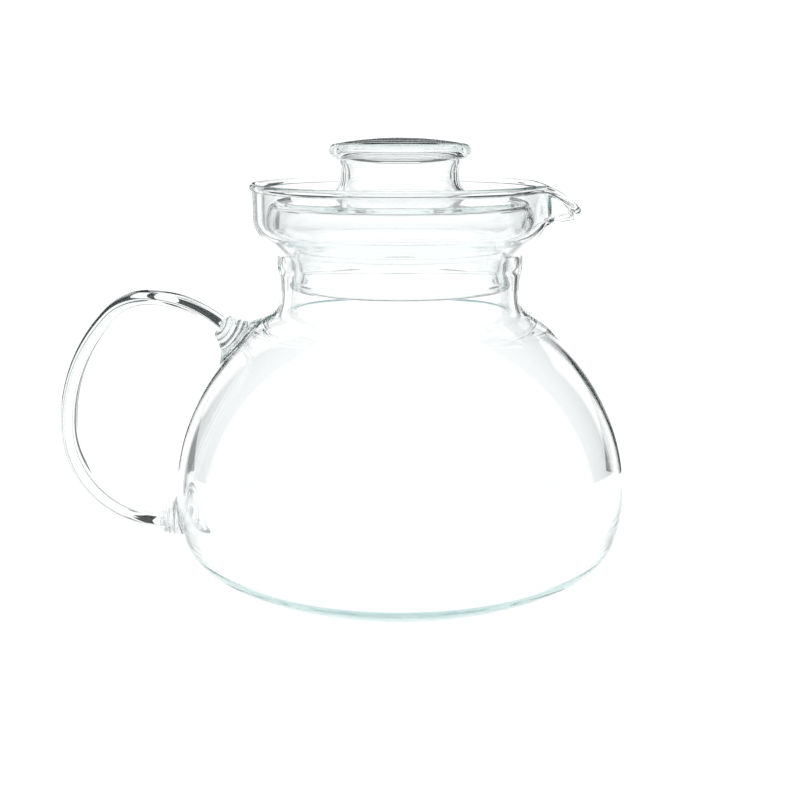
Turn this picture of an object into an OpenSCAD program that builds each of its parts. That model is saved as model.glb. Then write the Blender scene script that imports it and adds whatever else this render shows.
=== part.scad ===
// Borosilicate glass teapot: a blown bowl with a neck, a wide collar and a pouring lip,
// a flattened rod handle fused to the bowl at both ends, and a loose blown lid with a hollow knob.
// Millimetres, +Z up. The origin is the centre of the base's resting face, the handle is
// towards -X and the lip towards +X.

/* [Bowl] */
// Radius of the flat disc that the pot stands on
base_r = 39.5; // [38:0.5:41]
// Radius of the shallow curve from the base to the heel
underside_curve = 60; // [57:0.5:63]
// Radius of the tight curve at the heel
heel_curve = 10.5; // [9.5:0.5:12]
// Radius of the curve from the heel up to the widest point
low_belly_curve = 44; // [42:0.5:46]
// Radius of the curve just above the widest point
high_belly_curve = 69.5; // [67:0.5:72]
// Radius of the dome that runs up to the shoulder
dome_curve = 89.3; // [87:0.5:92]
// Thickness of the blown wall
wall = 2.2; // [1.8:0.1:2.4]
// Thickness of the floor
floor_wall = 3.6; // [3:0.1:4.5]

/* [Neck and collar] */
// Outer radius of the neck below the collar
neck_r = 42.4; // [42:0.1:43]
// Radius of the hollow curve where the shoulder turns up into the neck
shoulder_fillet = 4; // [3.5:0.5:6]
// Length of the neck's straight stretch below the collar
neck_straight = 2.6; // [2.2:0.1:4]
// Outer radius of the collar
collar_r = 50.2; // [49.8:0.1:51]
// Length of the collar's upright wall below the rim bead
collar_len = 9.6; // [8:0.1:10]
// Radius of the fire-polished bead round the rim
rim_bead_r = 1.3; // [1.2:0.05:1.5]

/* [Pouring lip] */
// Distance from the pot's axis to the middle of the bead at the lip's tip
lip_reach = 60.8; // [58:0.2:63]
// Height of the middle of the bead at the lip's tip below the rim's
lip_drop = 8.2; // [7:0.2:9]
// Angle round the rim at which the lip has lost half its reach
lip_half_angle = 10; // [8:0.5:13]

/* [Handle] */
// Thickness of the handle's flattened rod, in the plane of the handle
rod_thick = 5; // [4.5:0.1:6]
// Width of the handle's flattened rod, across the plane of the handle
rod_wide = 12; // [10:0.5:14]
// Thickness of the fused ring at each end of the rod
weld_ring_thick = 8.8; // [8:0.1:10]
// Width of the fused ring at each end of the rod
weld_ring_wide = 13.6; // [13:0.1:15]

/* [Lid] */
// Outer radius of the plug that goes down the neck
plug_r = 37.4; // [36.5:0.1:38]
// Height of the plug's lower edge above the base
plug_z = 103.1; // [103:0.1:106]
// Radius of the fire-polished bead round the plug's lower edge
plug_bead_r = 1.5; // [1.3:0.1:1.7]
// Thickness of the lid's blown wall
lid_wall = 2.1; // [1.8:0.1:2.3]
// Thickness of the solid glass at the top of the knob
knob_top_wall = 4.2; // [3.5:0.1:5]

/* [Hidden] */
$fn = 180;

glass_tint = [0.82, 0.92, 0.91];
glass_alpha = 0.4;

// An outline is traced as a pen draws it: [x, z, heading], with 0 degrees outwards and
// 90 degrees up. A move is [length, 0] for a straight line or [radius, turn] for an arc, in
// which a positive turn is to the left.
function arc_end(pen, radius, turn) = let(side = turn > 0 ? radius : -radius, h = pen[2]) [
    pen[0] + side * (sin(h + turn) - sin(h)),
    pen[1] + side * (cos(h) - cos(h + turn)),
    h + turn
];
function line_end(pen, len) = [pen[0] + len * cos(pen[2]), pen[1] + len * sin(pen[2]), pen[2]];
function move_end(pen, move) =
    move[1] == 0 ? line_end(pen, move[0]) : arc_end(pen, move[0], move[1]);
function move_points(pen, move, step) =
    move[1] == 0 ? [line_end(pen, move[0])] :
    let(n = ceil(abs(move[1]) / step))
    [for (i = [1:n]) arc_end(pen, move[0], move[1] * i / n)];
function trace(pen, moves, step, i = 0) =
    i == len(moves) ? [] :
    concat(move_points(pen, moves[i], step), trace(move_end(pen, moves[i]), moves, step, i + 1));
function trace_end(pen, moves, i = 0) =
    i == len(moves) ? pen : trace_end(move_end(pen, moves[i]), moves, i + 1);
// The point a given depth to the left of the pen, which is the inner face of a wall
function left_of(pen, depth) = [
    pen[0] - depth * sin(pen[2]),
    pen[1] + depth * cos(pen[2])
];
function xz(pen) = [pen[0], pen[1]];
function reversed(list) = [for (i = [len(list) - 1:-1:0]) list[i]];
function mix(a, b, t) = a + (b - a) * t;

// Bowl outline, from the edge of the base up to the top of the straight neck
arc_step = 5;
shoulder_slope = 57;
shoulder_curve = 62;
base_pen = [base_r, 0, 0];
bowl_moves = [
    [underside_curve, 34],
    [heel_curve, 37],
    [low_belly_curve, 19],
    [high_belly_curve, 21],
    [dome_curve, 24.5],
    [shoulder_curve, shoulder_slope - 45.5]
];
dome_end = trace_end(base_pen, bowl_moves);
// The neck leans in above the shoulder, and out again below the collar, by the waist's angle
waist_angle = 10;
waist_curve = 34;
waist_end_curve = 12;
fillet_run = shoulder_fillet * (cos(waist_angle) - cos(shoulder_slope));
waist_run = waist_end_curve * (1 - cos(waist_angle));
shoulder_len = (dome_end[0] - neck_r - fillet_run + waist_run) / sin(shoulder_slope);
neck_moves = concat(bowl_moves, [
    [shoulder_len, 0],
    [shoulder_fillet, waist_angle - shoulder_slope],
    [waist_curve, -2 * waist_angle],
    [waist_end_curve, waist_angle]
]);
waist_end = trace_end(base_pen, neck_moves);
neck_top_z = waist_end[1] + neck_straight;
bowl_outline = concat([base_pen], trace(base_pen, neck_moves, arc_step));

// The collar is joined to the neck's end face, and its lowest ring sits just inside the wall
joint_depth = 0.4;
joint_inset = 0.12;
joint_below_collar = 1.4;
joint_z = neck_top_z - joint_below_collar;

// Wall thickness along the bowl: the floor's at the base, thinning to the wall's at the belly
function bowl_wall(pen) = mix(floor_wall, wall, min(1, pen[2] / 90));

module vessel_bowl() {
    outer = [for (p = bowl_outline) xz(p)];
    inner = [for (p = bowl_outline) left_of(p, bowl_wall(p))];
    rotate_extrude()
        polygon(concat(
            [[0, 0]], outer, [[neck_r, joint_z], [neck_r - wall, joint_z]],
            reversed(inner), [[0, floor_wall]]
        ));
}

// Collar outline away from the lip, from the neck up to the middle of the rim bead
collar_slope = 42;
collar_fillet = 2.5;
collar_round = 9;
collar_pen = [neck_r, neck_top_z, 90];
slope_run = collar_r - neck_r - (collar_fillet + collar_round) * (1 - cos(collar_slope));
slope_len = slope_run / sin(collar_slope);
collar_moves = [
    [collar_fillet, -collar_slope],
    [slope_len, 0],
    [collar_round, collar_slope],
    [collar_len, 0]
];
collar_top = trace_end(collar_pen, collar_moves);
rim_bead = [collar_r - wall / 2 + 0.75, collar_top[1] + 0.7];

// Lip outline in the middle of the lip: the wall climbs the same slope, then turns outwards
// into an almost level trough that ends in the bead
lip_bend = 5;
trough_rise = 8;
lip_bead = [lip_reach, rim_bead[1] - lip_drop];
lip_turn = 90 - collar_slope - trough_rise;
lip_slope_len = slope_len + 3;
lip_start_moves = [
    [collar_fillet, -collar_slope],
    [lip_slope_len, 0],
    [lip_bend, -lip_turn]
];
lip_bend_end = trace_end(collar_pen, lip_start_moves);
trough_len = lip_bead[0] - 1 - lip_bend_end[0];
lip_moves = concat(lip_start_moves, [[trough_len, 0]]);

// Both outlines are walked in the same number of stations, evenly along their length
collar_stations = 12;
function move_len(move) = move[1] == 0 ? move[0] : move[0] * abs(move[1]) * PI / 180;
function total_len(moves, i = 0) = i == len(moves) ? 0 : move_len(moves[i]) + total_len(moves, i + 1);
function pen_at(pen, moves, dist, i = 0) =
    let(own = move_len(moves[i]))
    (dist <= own || i == len(moves) - 1)
        ? move_end(pen, moves[i][1] == 0 ? [min(dist, own), 0]
            : [moves[i][0], moves[i][1] * max(min(dist / own, 1), 0.0001)])
        : pen_at(move_end(pen, moves[i]), moves, dist - own, i + 1);
function stations(pen, moves) =
    let(whole = total_len(moves))
    [for (i = [0:collar_stations]) pen_at(pen, moves, whole * i / collar_stations)];
plain_walk = stations(collar_pen, collar_moves);
lip_walk = stations(collar_pen, lip_moves);

// How far the wall has gone over from the plain outline to the lip's, at an angle from +X
function lip_share(angle) = pow(0.5, pow(angle / lip_half_angle, 2));
// The rim stays high for longer than it reaches out, so height follows a power of the share
lip_sag = 1.3;
function lip_mix(plain, poured, share) = [
    mix(plain[0], poured[0], share),
    mix(plain[1], poured[1], pow(share, lip_sag))
];

// One closed section of the collar: up the outside, round the bead, down the inside
bead_sides = 8;
bead_start = -70;
bead_sweep = 320;
function collar_section(angle) =
    let(
        share = lip_share(angle),
        bead = lip_mix(rim_bead, lip_bead, share),
        tilt = mix(0, trough_rise - 90, share),
        foot_z = joint_z - joint_depth
    )
    concat(
        [[neck_r - joint_inset, foot_z]],
        [for (i = [0:collar_stations]) lip_mix(plain_walk[i], lip_walk[i], share)],
        [for (i = [0:bead_sides])
            let(a = bead_start + tilt * 0.5 + bead_sweep * (i / bead_sides) - 20)
            bead + rim_bead_r * [cos(a), sin(a)]],
        [for (i = [collar_stations:-1:0])
            lip_mix(left_of(plain_walk[i], wall), left_of(lip_walk[i], wall), share)],
        [[neck_r - wall + joint_inset, foot_z]]
    );

// Sections are packed closer together near the lip
collar_sections = 80;
lip_packing = 0.5;
function section_angle(i) =
    let(even = 360 * i / collar_sections - 180)
    even - lip_packing * sin(even) * 180 / PI;
function around(point, angle) = [point[0] * cos(angle), point[0] * sin(angle), point[1]];

// A grid of points that closes on itself both ways becomes a solid ring
module ring_solid(grid) {
    rows = len(grid);
    cols = len(grid[0]);
    function at(i, j) = (i % rows) * cols + (j % cols);
    polyhedron(
        points = [for (row = grid) for (p = row) p],
        faces = [for (i = [0:rows - 1]) for (j = [0:cols - 1])
            for (half = [0, 1])
                half == 0 ? [at(i, j), at(i, j + 1), at(i + 1, j + 1)]
                          : [at(i, j), at(i + 1, j + 1), at(i + 1, j)]],
        convexity = 6
    );
}

module vessel_collar() {
    ring_solid([for (i = [0:collar_sections - 1])
        let(angle = section_angle(i))
        [for (p = collar_section(angle)) around(p, angle)]]);
}

module vessel() {
    color(glass_tint, glass_alpha)
        union() {
            vessel_bowl();
            vessel_collar();
        }
}

// Handle: the middle line of the rod, from the upper weld round to the lower weld
handle_start = [-62.7, 89.3, 139];
handle_moves = [[38.9, 41], [18.4, 45], [59.5, 45], [34.6, 45], [33.5, 42.5]];
handle_end = trace_end(handle_start, handle_moves);
rod_arc_step = 7;
section_sides = 32;
rod_line = concat([handle_start], trace(handle_start, handle_moves, rod_arc_step));

// A point of an oval section across the handle's plane, half a by half b, at one of its sides
function oval_point(pen, a, b, side) =
    let(turn = 360 * side / section_sides, depth = a * cos(turn))
    [pen[0] - depth * sin(pen[2]), b * sin(turn), pen[1] + depth * cos(pen[2])];
function oval_ring(pen, a, b) =
    [for (side = [0:section_sides - 1]) oval_point(pen, a, b, side)];

// A stack of rings with a cap on each end
module lofted(rings) {
    n = len(rings[0]);
    last = len(rings) - 1;
    sides = [for (i = [0:last - 1]) for (j = [0:n - 1]) for (half = [0, 1])
        half == 0 ? [i * n + j, (i + 1) * n + j, (i + 1) * n + (j + 1) % n]
                  : [i * n + j, (i + 1) * n + (j + 1) % n, i * n + (j + 1) % n]];
    polyhedron(
        points = [for (ring = rings) for (p = ring) p],
        faces = concat(sides, [[for (j = [0:n - 1]) j]], [[for (j = [n - 1:-1:0]) last * n + j]]),
        convexity = 4
    );
}

module handle_rod() {
    color(glass_tint, glass_alpha)
        lofted([for (pen = rod_line) oval_ring(pen, rod_thick / 2, rod_wide / 2)]);
}

// A weld flares from the fused ring at the rod's end to a wide foot on the bowl's outer face.
// The foot stands a hair off the bowl, so that its flat facets never cut into the curved wall.
foot_gap = 0.18;
weld_rings = 8;
foot_rings = 8;
flare_power = 2.4;
search_steps = 24;
search_len = 30;
bowl_radii = [for (p = bowl_outline) [p[1], p[0]]];
function outside_bowl(p) = norm([p[0], p[1]]) > lookup(p[2], bowl_radii) + foot_gap;
// How far a point travels along a direction before it meets the bowl, found by halving
function reach(p, dir, near, far, n) =
    n == 0 ? near :
    let(half = (near + far) / 2)
    outside_bowl(p + dir * half) ? reach(p, dir, half, far, n - 1) : reach(p, dir, near, half, n - 1);
function landed(p, dir) = p + dir * reach(p, dir, 0, search_len, search_steps);
function foot_ring(pen, dir, size, share) =
    [for (p = oval_ring(pen, size[0] * share, size[1] * share)) landed(p, dir)];
// The side wall drifts out to the foot slowly at first, which gives the flare its trumpet curve
function flare_ring(ring, foot, dir, share) =
    [for (side = [0:section_sides - 1])
        let(
            travel = (foot[side] - ring[side]) * dir,
            spread = foot[side] - ring[side] - dir * travel
        )
        ring[side] + dir * (travel * share) + spread * pow(share, flare_power)];

// pen is the middle of the rod's end, facing the bowl. foot_size is the foot's half-sizes along
// and across the plane of the handle, and foot_shift is how far it sits to the pen's left.
module weld(pen, foot_size, foot_shift) {
    dir = [cos(pen[2]), 0, sin(pen[2])];
    side_pen = left_of(pen, foot_shift);
    foot_pen = [side_pen[0], side_pen[1], pen[2]];
    ring = oval_ring(pen, weld_ring_thick / 2, weld_ring_wide / 2);
    foot = foot_ring(foot_pen, dir, foot_size, 1);
    walls = [for (i = [0:weld_rings]) flare_ring(ring, foot, dir, i / weld_rings)];
    face = [for (i = [foot_rings - 1:-1:1]) foot_ring(foot_pen, dir, foot_size, i / foot_rings)];
    centre = [foot_ring(foot_pen, dir, foot_size, 0.02)];
    color(glass_tint, glass_alpha)
        lofted(concat(walls, face, centre));
}

upper_foot = [11.5, 11.5];
upper_foot_shift = 0;
module handle_upper_weld() {
    weld([handle_start[0], handle_start[1], handle_start[2] + 180], upper_foot, upper_foot_shift);
}

lower_foot = [10.5, 11];
lower_foot_shift = 3.4;
module handle_lower_weld() {
    weld(handle_end, lower_foot, lower_foot_shift);
}

// Lid outline, from the plug's lower edge up over the bulge and the flat top to the knob
lid_arc_step = 6;
plug_pen = [plug_r, plug_z + plug_bead_r, 90];
lid_side_moves = [
    [5.7, 0],
    [24, -14],
    [3.2, -50],
    [3.4, 0],
    [5.2, 64],
    [0.8, 0],
    [14, 22],
    [3.6, 64]
];
lid_shoulder = trace_end(plug_pen, lid_side_moves);
knob_waist_r = 20.3;
knob_foot_curve = 7;
plate_slope = 176;
plate_len = (lid_shoulder[0] - knob_waist_r - knob_foot_curve * (1 - sin(plate_slope)))
    / -cos(plate_slope);
knob_side_moves = [
    [plate_len, 0],
    [knob_foot_curve, 90 - plate_slope],
    [1, 0],
    [6.5, -50],
    [0.8, 0],
    [2.4, 130]
];
knob_edge = trace_end(lid_shoulder, knob_side_moves);
knob_dome = knob_edge[0] / sin(180 - knob_edge[2]);
lid_moves = concat(lid_side_moves, knob_side_moves);
lid_outline = concat([plug_pen], trace(plug_pen, lid_moves, lid_arc_step));
lid_dome = trace(knob_edge, [[knob_dome, 180 - knob_edge[2]]], lid_arc_step / 2);
knob_hollow_r = 17.5;

module lid() {
    outer = [for (p = concat(lid_outline, lid_dome)) xz(p)];
    knob_top_z = lid_dome[len(lid_dome) - 1][1];
    inner = [for (p = lid_outline) left_of(p, lid_wall)];
    ceiling = knob_top_z - knob_top_wall;
    hollow = [for (p = inner) if (p[1] < ceiling) p];
    color(glass_tint, glass_alpha)
        rotate_extrude()
            union() {
                polygon(concat(outer, [[0, ceiling]], [[knob_hollow_r, ceiling]], reversed(hollow)));
                translate([plug_r - lid_wall / 2 + 0.3, plug_z + plug_bead_r])
                    circle(r = plug_bead_r);
            }
}

vessel();
handle_rod();
handle_upper_weld();
handle_lower_weld();
lid();
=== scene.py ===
import math

import bmesh
import bpy
from mathutils import Euler, Matrix, Vector
from mathutils.bvhtree import BVHTree


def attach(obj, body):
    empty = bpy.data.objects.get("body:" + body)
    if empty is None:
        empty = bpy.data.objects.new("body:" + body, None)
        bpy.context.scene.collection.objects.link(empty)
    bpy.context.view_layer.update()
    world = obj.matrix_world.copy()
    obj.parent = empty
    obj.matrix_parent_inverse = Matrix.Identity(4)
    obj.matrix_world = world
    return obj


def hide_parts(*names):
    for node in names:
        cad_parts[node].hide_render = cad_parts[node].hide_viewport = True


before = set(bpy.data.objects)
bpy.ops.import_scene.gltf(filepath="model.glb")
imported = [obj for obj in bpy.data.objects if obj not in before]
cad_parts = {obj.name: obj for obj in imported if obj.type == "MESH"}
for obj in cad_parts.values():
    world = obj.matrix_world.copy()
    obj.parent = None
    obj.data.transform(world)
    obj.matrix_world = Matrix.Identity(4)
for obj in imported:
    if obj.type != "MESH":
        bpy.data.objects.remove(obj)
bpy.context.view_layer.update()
MM = 0.001


# ---------------------------------------------------------------- outlines

class Pen:
    """Draws an outline in the XZ plane, in millimetres. Heading 0 is outwards, 90 is up."""

    def __init__(self, x, z, heading):
        self.x, self.z, self.heading = x, z, heading

    def copy(self):
        return Pen(self.x, self.z, self.heading)

    def moved(self, size, turn):
        """A straight move of that length, or an arc of that radius where turn isn't 0."""
        pen = self.copy()
        start = math.radians(pen.heading)
        if turn == 0:
            pen.x += size * math.cos(start)
            pen.z += size * math.sin(start)
            return pen
        end = start + math.radians(turn)
        side = math.copysign(size, turn)
        pen.x += side * (math.sin(end) - math.sin(start))
        pen.z += side * (math.cos(start) - math.cos(end))
        pen.heading += turn
        return pen

    def left(self, depth):
        """The point that far to the pen's left, as (x, z)."""
        a = math.radians(self.heading)
        return (self.x - depth * math.sin(a), self.z + depth * math.cos(a))


def round_point(x, z, radius, turn):
    """The point at that turn, in degrees, on a circle about (x, z)."""
    a = math.radians(turn)
    return (x + radius * math.cos(a), z + radius * math.sin(a))


def move_length(move):
    size, turn = move
    return size if turn == 0 else size * math.radians(abs(turn))


def trace(pen, moves, step):
    """The pens along the moves, no further apart than step millimetres, with the start left out."""
    pens = []
    for size, turn in moves:
        count = max(1, math.ceil(move_length((size, turn)) / step))
        for i in range(1, count + 1):
            share = i / count
            pens.append(pen.moved(size * share, 0) if turn == 0 else pen.moved(size, turn * share))
        pen = pens[-1]
    return pens


def pen_at(pen, moves, share):
    """The pen at that share of the whole length of the moves."""
    rest = share * sum(move_length(m) for m in moves)
    for size, turn in moves:
        own = move_length((size, turn))
        if rest <= own:
            return pen.moved(rest, 0) if turn == 0 else pen.moved(size, turn * max(rest / own, 1e-6))
        rest -= own
        pen = pen.moved(size, turn)
    return pen


def mix(a, b, share):
    return a + (b - a) * share


# ---------------------------------------------------------------- vessel dimensions, in millimetres

BASE_R = 39.5
WALL = 2.2
FLOOR_WALL = 3.6
NECK_R = 42.4
COLLAR_R = 50.2
COLLAR_LEN = 9.6
BEAD_R = 1.3
BOWL_MOVES = [(60, 34), (10.5, 37), (44, 19), (69.5, 21), (89.3, 24.5)]
SHOULDER_CURVE = 62
SHOULDER_SLOPE = 57
SHOULDER_FILLET = 4
WAIST_ANGLE = 10
WAIST_CURVE = 34
WAIST_END_CURVE = 12
NECK_STRAIGHT = 2.6
COLLAR_SLOPE = 42
COLLAR_FILLET = 2.5
COLLAR_ROUND = 9


def neck_moves():
    """The outside of the bowl and the neck, from the edge of the base up to the collar."""
    turned = sum(turn for size, turn in BOWL_MOVES)
    moves = BOWL_MOVES + [(SHOULDER_CURVE, 90 + SHOULDER_SLOPE - turned)]
    dome_end = pen_at(Pen(BASE_R, 0, 0), moves, 1)
    lean, slope = math.radians(WAIST_ANGLE), math.radians(SHOULDER_SLOPE)
    fillet_run = SHOULDER_FILLET * (math.cos(lean) - math.cos(slope))
    waist_run = WAIST_END_CURVE * (1 - math.cos(lean))
    shoulder = (dome_end.x - NECK_R - fillet_run + waist_run) / math.sin(slope)
    return moves + [
        (shoulder, 0),
        (SHOULDER_FILLET, WAIST_ANGLE - SHOULDER_SLOPE),
        (WAIST_CURVE, -2 * WAIST_ANGLE),
        (WAIST_END_CURVE, WAIST_ANGLE),
        (NECK_STRAIGHT, 0),
    ]


def collar_moves():
    """The collar away from the lip, from the neck up to the rim bead."""
    slope = math.radians(COLLAR_SLOPE)
    run = COLLAR_R - NECK_R - (COLLAR_FILLET + COLLAR_ROUND) * (1 - math.cos(slope))
    return [
        (COLLAR_FILLET, -COLLAR_SLOPE),
        (run / math.sin(slope), 0),
        (COLLAR_ROUND, COLLAR_SLOPE),
        (COLLAR_LEN, 0),
    ]


LIP_REACH = 60.8
LIP_DROP = 8.2
LIP_HALF_ANGLE = 10
LIP_BEND = 5
LIP_SAG = 1.3
LIP_WALL = 1.7
LIP_EXTRA_SLOPE = 3
LIP_BEAD_COVER = 1
TROUGH_RISE = 8


def lip_moves(neck_top):
    """The middle of the lip: up the same slope, then over into an almost level trough that ends
    inside the bead."""
    fillet, slope = collar_moves()[:2]
    start = [fillet, (slope[0] + LIP_EXTRA_SLOPE, 0), (LIP_BEND, COLLAR_SLOPE + TROUGH_RISE - 90)]
    return start + [(LIP_REACH - LIP_BEAD_COVER - pen_at(neck_top, start, 1).x, 0)]


# ---------------------------------------------------------------- mesh helpers

def outline_mesh(points):
    """A bmesh holding one open chain of edges in the XZ plane. Points are in millimetres."""
    bm = bmesh.new()
    verts = [bm.verts.new((x * MM, 0, z * MM)) for x, z in points]
    for a, b in zip(verts, verts[1:]):
        bm.edges.new((a, b))
    return bm


TURN_STEPS = 240


def revolve(bm):
    """Spins the chain a full turn about Z, and closes its seam and its poles."""
    bmesh.ops.spin(
        bm, geom=bm.verts[:] + bm.edges[:], cent=(0, 0, 0), axis=(0, 0, 1),
        angle=math.tau, steps=TURN_STEPS, use_merge=True, use_duplicate=False,
    )
    bmesh.ops.remove_doubles(bm, verts=bm.verts[:], dist=1e-6)
    bmesh.ops.recalc_face_normals(bm, faces=bm.faces[:])


def finished(bm, name, body, slot, material, *nodes):
    """Turns the bmesh into a smooth-shaded piece that rides on its body and stands for CAD nodes."""
    for face in bm.faces:
        face.smooth = True
    mesh = bpy.data.meshes.new(name)
    bm.to_mesh(mesh)
    bm.free()
    mesh.materials.append(material)
    piece = bpy.data.objects.new(name, mesh)
    bpy.context.scene.collection.objects.link(piece)
    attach(piece, body)
    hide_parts(*nodes)


# ---------------------------------------------------------------- materials

class Value:
    """A number socket whose arithmetic adds Math nodes."""

    def __init__(self, shader, socket):
        self.shader, self.socket = shader, socket

    def _math(self, operation, *values):
        node = self.shader.node("ShaderNodeMath", {"operation": operation}, dict(enumerate(values)))
        return Value(self.shader, node.outputs[0])

    def __add__(self, other):
        return self._math("ADD", self, other)

    def __mul__(self, other):
        return self._math("MULTIPLY", self, other)

    __radd__ = __add__
    __rmul__ = __mul__


class Shader:
    """A material under construction, with one method that adds any node."""

    def __init__(self, name):
        self.material = bpy.data.materials.new(name)
        self.material.use_nodes = True
        self.tree = self.material.node_tree
        self.tree.nodes.clear()

    def node(self, kind, settings=None, values=None):
        node = self.tree.nodes.new(kind)
        for key, value in (settings or {}).items():
            setattr(node, key, value)
        for key, value in (values or {}).items():
            source = value.socket if isinstance(value, Value) else value
            if isinstance(source, bpy.types.NodeSocket):
                self.tree.links.new(source, node.inputs[key])
            else:
                node.inputs[key].default_value = source
        return node

    def value(self, node, output=0):
        return Value(self, node.outputs[output])


def glass(name, tint, depth_tint, density, waves):
    """Clear blown glass. waves lists (size in metres, height in metres) of its surface ripples."""
    shader = Shader(name)
    place = shader.node("ShaderNodeTexCoord").outputs["Object"]
    height = 0
    for size, depth in waves:
        noise = shader.node(
            "ShaderNodeTexNoise", {}, {"Vector": place, "Scale": 1 / size, "Detail": 1.0, "Roughness": 0.4}
        )
        height = height + depth * shader.value(noise)
    bump = shader.node("ShaderNodeBump", {}, {"Height": height, "Strength": 1.0, "Distance": 1.0})
    surface = shader.node("ShaderNodeBsdfPrincipled", {}, {
        "Base Color": (*tint, 1),
        "Roughness": 0.0,
        "IOR": 1.473,
        "Transmission Weight": 1.0,
        "Normal": bump.outputs["Normal"],
    })
    inside = shader.node("ShaderNodeVolumeAbsorption", {}, {"Color": (*depth_tint, 1), "Density": density})
    shader.node("ShaderNodeOutputMaterial", {}, {
        "Surface": surface.outputs["BSDF"],
        "Volume": inside.outputs["Volume"],
    })
    return shader.material


# ---------------------------------------------------------------- vessel

SHOULDER_RING_R = 48
SHOULDER_RING_RISE = 0.6
SHOULDER_RING_SPREAD = 1.8
BOWL_STEP = 1.6
COLLAR_RINGS = 36
BEAD_OUT = 0.75
BEAD_UP = 0.7
BEAD_TURNS = [-90 + 320 * i / 14 for i in range(15)]
LEAST_LIP = 1e-5


def bowl_wall(pen):
    """The wall's thickness: the floor's at the base, and a faint ring inside the shoulder."""
    plain = mix(FLOOR_WALL, WALL, min(1, pen.heading / 90))
    if pen.heading < 90:
        return plain
    return plain + SHOULDER_RING_RISE * math.exp(-(((pen.x - SHOULDER_RING_R) / SHOULDER_RING_SPREAD) ** 2))


def lip_share(angle):
    """How far the rim has gone over to the lip's outline, at that many degrees from +X."""
    return 0.5 ** ((angle / LIP_HALF_ANGLE) ** 2)


class Collar:
    """The collar's section at any place round the rim. A share of 0 is plain, and 1 is the lip."""

    def __init__(self, neck_top):
        self.neck_top = neck_top
        self.plain = collar_moves()
        self.poured = lip_moves(neck_top)
        self.rim = (COLLAR_R - WALL / 2 + BEAD_OUT, pen_at(neck_top, self.plain, 1).z + BEAD_UP)
        self.tip = (LIP_REACH, self.rim[1] - LIP_DROP)

    def between(self, plain, poured, share):
        """The rim stays high for longer than it reaches out, so height follows a power."""
        return (mix(plain[0], poured[0], share), mix(plain[1], poured[1], share ** LIP_SAG))

    def wall(self, way, side, share):
        """A point of the wall. way runs from 0 at the neck to 1, and side is 0 outside, 1 inside."""
        plain = pen_at(self.neck_top, self.plain, way).left(WALL * side)
        poured = pen_at(self.neck_top, self.poured, way).left(mix(WALL, LIP_WALL, way) * side)
        return self.between(plain, poured, share)

    def bead(self, turn, share):
        """A point of the fire-polished bead, which tips over with the lip."""
        x, z = self.between(self.rim, self.tip, share)
        return round_point(x, z, BEAD_R, turn + (TROUGH_RISE - 90) * share)


def make_vessel(material):
    """Bowl, neck, collar and lip as one closed wall. Returns a tree to find its surface with."""
    base = Pen(BASE_R, 0, 0)
    pens = [base] + trace(base, neck_moves(), BOWL_STEP)
    collar = Collar(pens[-1])
    ways = [i / COLLAR_RINGS for i in range(1, COLLAR_RINGS + 1)]
    section = [lambda share, w=w: collar.wall(w, 0, share) for w in ways]
    section += [lambda share, t=t: collar.bead(t, share) for t in BEAD_TURNS]
    section += [lambda share, w=w: collar.wall(w, 1, share) for w in reversed(ways)]
    outside = [(0, 0)] + [(p.x, p.z) for p in pens]
    inside = [p.left(bowl_wall(p)) for p in reversed(pens)] + [(0, FLOOR_WALL)]

    bm = outline_mesh(outside + [place(0) for place in section] + inside)
    station = bm.verts.layers.int.new("station")
    bm.verts.ensure_lookup_table()
    for i, vert in enumerate(bm.verts):
        vert[station] = i - len(outside)
    revolve(bm)
    for vert in bm.verts:
        a = math.atan2(vert.co.y, vert.co.x)
        share = lip_share(math.degrees(a))
        if 0 <= vert[station] < len(section) and share >= LEAST_LIP:
            x, z = section[vert[station]](share)
            vert.co = (x * MM * math.cos(a), x * MM * math.sin(a), z * MM)
    bowl = BVHTree.FromBMesh(bm)
    finished(bm, "vessel_glass", "pot", "clear_glass", material, "vessel")
    return bowl


# ---------------------------------------------------------------- lid

PLUG_R = 37.4
PLUG_Z = 103.1
PLUG_BEAD_R = 1.5
PLUG_BEAD_OUT = 0.3
PLUG_BEAD_TURNS = range(-200, 21, 20)
LID_WALL = 2.1
LID_STEP = 1
KNOB_TOP_WALL = 4.2
KNOB_WAIST_R = 20.3
KNOB_FOOT_CURVE = 7
KNOB_STEP = 0.8
KNOB_DOME_STEP = 1.2
KNOB_HOLLOW_ROUND = 0.6
PLATE_SLOPE = 176
LID_SIDE_MOVES = [(5.7, 0), (24, -14), (3.2, -50), (3.4, 0), (5.2, 64), (0.8, 0), (14, 22), (3.6, 64)]
KNOB_SIDE_MOVES = [(1, 0), (6.5, -50), (0.8, 0), (2.4, 130)]


def lid_pens():
    """The outside of the lid from the plug's bead to the knob's edge, and then the knob's dome."""
    start = Pen(PLUG_R, PLUG_Z + PLUG_BEAD_R, 90)
    pens = [start] + trace(start, LID_SIDE_MOVES, LID_STEP)
    slope = math.radians(PLATE_SLOPE)
    plate = (pens[-1].x - KNOB_WAIST_R - KNOB_FOOT_CURVE * (1 - math.sin(slope))) / -math.cos(slope)
    knob = [(plate, 0), (KNOB_FOOT_CURVE, 90 - PLATE_SLOPE)] + KNOB_SIDE_MOVES
    pens += trace(pens[-1], knob, KNOB_STEP)
    edge = pens[-1]
    over = 180 - edge.heading
    dome = trace(edge, [(edge.x / math.sin(math.radians(over)), over)], KNOB_DOME_STEP)
    dome[-1].x = 0
    return pens, dome


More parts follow.
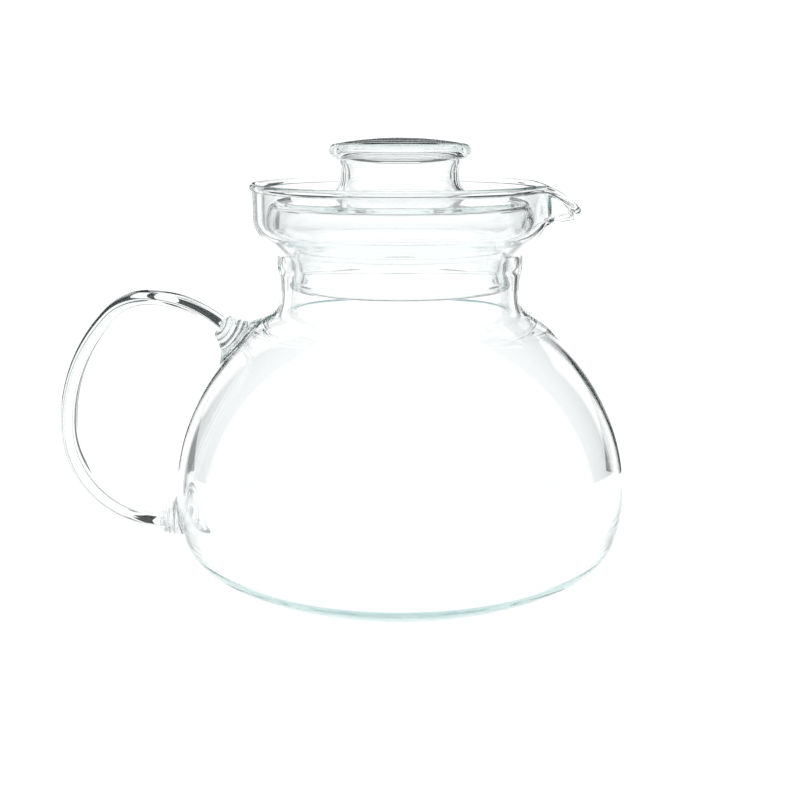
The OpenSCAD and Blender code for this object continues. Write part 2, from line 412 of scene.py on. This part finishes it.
def make_lid(material):
    """One hollow shell, open below, with solid glass over the hollow of its knob."""
    side, dome = lid_pens()
    ceiling = dome[-1].z - KNOB_TOP_WALL
    bead_x = PLUG_R - LID_WALL / 2 + PLUG_BEAD_OUT
    bead = [round_point(bead_x, PLUG_Z + PLUG_BEAD_R, PLUG_BEAD_R, turn) for turn in PLUG_BEAD_TURNS]
    inside = [q for q in (p.left(LID_WALL) for p in side) if q[1] < ceiling - KNOB_HOLLOW_ROUND]
    hollow_r = inside[-1][0]
    hollow = [(0, 0), (hollow_r / 2, 0), (hollow_r - 1, 0.05), (hollow_r - 0.3, 0.2)]
    points = bead + [(p.x, p.z) for p in side[1:] + dome]
    points += [(x, ceiling - drop) for x, drop in hollow] + inside[:0:-1] + [bead[0]]
    bm = outline_mesh(points)
    revolve(bm)
    finished(bm, "lid_glass", "lid", "lid_glass", material, "lid")


# ---------------------------------------------------------------- handle

ROD_THICK = 5
ROD_WIDE = 12
HANDLE_START = Pen(-62.7, 89.3, 139)
HANDLE_MOVES = [(38.9, 41), (18.4, 45), (59.5, 45), (34.6, 45), (33.5, 42.5)]
RING_SIDES = 96
WELD_RING = (4.4, 6.8)
UPPER_FOOT = (11.5, 11.5)
UPPER_SHIFT = 0
LOWER_FOOT = (10.5, 11)
LOWER_SHIFT = 3.4
ROD_STEP = 1.2
WELD_RINGS = 72
FOOT_RINGS = 8
FLARE_POWER = 2.4
SWELL_LEN = 1.6
SINK = 0.06
RUN_UP = 10
RIDGES = 3
RIDGE_PITCH = 1.7
RIDGE_HEIGHT = 0.5
RIDGE_BOW = 1.5


def rod_point(pen, turn):
    """The point of the rod's oval section at that turn about the pen, in metres."""
    x, z = pen.left(math.cos(turn) * ROD_THICK / 2)
    return Vector((x, math.sin(turn) * ROD_WIDE / 2, z)) * MM


def swell(travel):
    """How far the rod's end has swollen to the fused ring's size, by distance along the weld."""
    share = min(1, max(0, travel / SWELL_LEN))
    return math.sqrt(1 - (1 - share) ** 2)


def ridge(travel):
    """The height of the folds that the soft glass was pushed into, by distance along the weld."""
    turns = travel / RIDGE_PITCH
    return RIDGE_HEIGHT * abs(math.sin(math.pi * turns)) if 0 < turns < RIDGES else 0


class Weld:
    """The flare from a rod end to a wide foot that is melted into the bowl's outer face."""

    def __init__(self, pen, foot_size, shift, bowl):
        a = math.radians(pen.heading)
        self.ahead = Vector((math.cos(a), 0, math.sin(a)))
        self.up = Vector((-math.sin(a), 0, math.cos(a)))
        self.start = Vector((pen.x, 0, pen.z)) * MM
        self.middle = self.start + self.up * shift * MM
        self.foot_size, self.bowl = foot_size, bowl

    def oval(self, size, turn):
        return (self.up * size[0] * math.cos(turn) + Vector((0, size[1] * math.sin(turn), 0))) * MM

    def foot(self, turn, share):
        """A point of the foot's face, at that share of the way out from its middle."""
        point = self.middle + self.oval(self.foot_size, turn) * share
        hit = self.bowl.ray_cast(point - self.ahead * RUN_UP * MM, self.ahead)[0]
        return hit + self.ahead * SINK * MM

    def wall(self, turn, share):
        """A point of the flare, at that share of the way from the rod to the foot."""
        reach = self.foot(turn, 1) - self.start
        travel = reach.dot(self.ahead)
        ring = self.oval(WELD_RING, turn)
        spread = reach - self.ahead * travel - ring
        along = travel * share / MM - RIDGE_BOW * math.sin(turn) ** 2
        section = self.oval((ROD_THICK / 2, ROD_WIDE / 2), turn).lerp(ring, swell(along))
        section += ring.normalized() * ridge(along) * MM
        return self.start + self.ahead * travel * share + section + spread * share ** FLARE_POWER


def make_handle(bowl, material):
    """The rod and its two welds. They are one run of glass, so they are one piece."""
    upper_pen = HANDLE_START.copy()
    upper_pen.heading += 180
    rod = trace(HANDLE_START, HANDLE_MOVES, ROD_STEP)
    upper = Weld(upper_pen, UPPER_FOOT, UPPER_SHIFT, bowl)
    lower = Weld(rod[-1], LOWER_FOOT, LOWER_SHIFT, bowl)
    foot_shares = [i / FOOT_RINGS for i in range(1, FOOT_RINGS)]
    wall_shares = [i / WELD_RINGS for i in range(1, WELD_RINGS + 1)]
    rings = [lambda t, s=s: upper.foot(math.pi - t, s) for s in foot_shares]
    rings += [lambda t, s=s: upper.wall(math.pi - t, s) for s in reversed(wall_shares)]
    rings += [lambda t, pen=pen: rod_point(pen, t) for pen in [HANDLE_START] + rod]
    rings += [lambda t, s=s: lower.wall(t, s) for s in wall_shares]
    rings += [lambda t, s=s: lower.foot(t, s) for s in reversed(foot_shares)]

    bm = bmesh.new()
    last = None
    for place in rings:
        verts = bmesh.ops.create_circle(bm, cap_ends=False, segments=RING_SIDES, radius=1)["verts"]
        edges = list({e for v in verts for e in v.link_edges})
        for vert in verts:
            vert.co = place(math.atan2(vert.co.y, vert.co.x))
        if last:
            bmesh.ops.bridge_loops(bm, edges=last + edges)
        last = edges
    bmesh.ops.edgeloop_fill(bm, edges=[e for e in bm.edges if e.is_boundary])
    bmesh.ops.recalc_face_normals(bm, faces=bm.faces[:])
    nodes = ("handle_rod", "handle_upper_weld", "handle_lower_weld")
    finished(bm, "handle_glass", "pot", "handle_glass", material, *nodes)


# ---------------------------------------------------------------- studio

WHITE = (1.14, 1.14, 1.14)
DARK = (0.02, 0.03, 0.03)
FLOOR_DROP = 0.0002
LIGHT_PATH = 160


def make_camera():
    data = bpy.data.cameras.new("studio_camera")
    data.lens = 51.96
    data.sensor_width = 36
    data.clip_start, data.clip_end = 0.01, 100
    camera = bpy.data.objects.new("studio_camera", data)
    camera.location = (0, -0.400425, 0.159448)
    camera.rotation_euler = Euler((math.radians(90 - 13.69), 0, 0))
    bpy.context.scene.collection.objects.link(camera)
    bpy.context.scene.camera = camera
    return camera


def make_world():
    world = bpy.data.worlds.new("studio")
    bpy.context.scene.world = world
    world.use_nodes = True
    world.node_tree.nodes["Background"].inputs["Color"].default_value = (*WHITE, 1)
    world.node_tree.nodes["Background"].inputs["Strength"].default_value = 1.0


def make_sheet(name, width, height, colour):
    """A flat sheet of even brightness, which is part of the studio and not of the pot."""
    bm = bmesh.new()
    bmesh.ops.create_grid(bm, x_segments=1, y_segments=1, size=0.5)
    bmesh.ops.scale(bm, vec=(width, height, 1), verts=bm.verts[:])
    mesh = bpy.data.meshes.new(name)
    bm.to_mesh(mesh)
    bm.free()
    shader = Shader(name)
    glow = shader.node("ShaderNodeEmission", {}, {"Color": (*colour, 1), "Strength": 1.0})
    shader.node("ShaderNodeOutputMaterial", {}, {"Surface": glow.outputs[0]})
    mesh.materials.append(shader.material)
    sheet = bpy.data.objects.new(name, mesh)
    bpy.context.scene.collection.objects.link(sheet)
    return sheet


def make_floor():
    """The table top, a hair below the pot so that the two faces never fight."""
    floor = make_sheet("floor", 12, 12, WHITE)
    floor.location = (0, 0, -FLOOR_DROP)


def make_card(camera, name, width, height, place):
    """An upright dark card that only the glass sees, and that draws its edges. place is its
    middle in the main view, and it then goes with the camera."""
    card = make_sheet(name, width, height, DARK)
    card.location = place
    card.rotation_euler = Euler((math.radians(90), 0, 0))
    card.parent = camera
    card.matrix_parent_inverse = Matrix.LocRotScale(camera.location, camera.rotation_euler, None).inverted()
    card.visible_camera = False
    card.visible_diffuse = False
    card.visible_shadow = False


def make_cards(camera):
    for name, side in (("left", -1), ("right", 1)):
        make_card(camera, name + "_neck_strip", 0.016, 0.075, (side * 0.092, 0.12, 0.1225))
        make_card(camera, name + "_knob_strip", 0.012, 0.05, (side * 0.062, 0.12, 0.155))
        make_card(camera, name + "_panel", 0.3, 0.9, (side * 0.4, 0.15, 0.2))
    make_card(camera, "left_strip", 0.016, 0.5, (-0.122, 0.12, 0.15))
    make_card(camera, "right_strip", 0.031, 0.5, (0.1295, 0.12, 0.15))
    make_card(camera, "rim_strip", 0.37, 0.075, (0.115, 0.12, 0.1995))
    make_card(camera, "handle_strip", 0.02, 0.5, (-0.16, 0.07, 0.15))
    make_card(camera, "top_panel", 1.1, 0.24, (0, 0.15, 0.49))


scene = bpy.context.scene
scene.view_settings.view_transform = "Standard"
# Light runs a long way inside a clear wall before it comes out
scene.cycles.max_bounces = LIGHT_PATH
scene.cycles.transmission_bounces = LIGHT_PATH
scene.cycles.glossy_bounces = LIGHT_PATH
scene.cycles.transparent_max_bounces = 16

make_world()
make_floor()
make_cards(make_camera())

TINT = (0.975, 0.982, 0.982)
DEPTH_TINT = (0.8, 0.885, 0.88)
ROD_DEPTH_TINT = (0.84, 0.86, 0.86)
BLOWN_RIPPLES = [(0.02, 0.00005)]
DRAWN_RIPPLES = [(0.02, 0.00002)]

bowl = make_vessel(glass("vessel_glass", TINT, DEPTH_TINT, 16, BLOWN_RIPPLES))
make_lid(glass("lid_glass", TINT, DEPTH_TINT, 9, BLOWN_RIPPLES))
make_handle(bowl, glass("handle_glass", TINT, ROD_DEPTH_TINT, 45, DRAWN_RIPPLES))
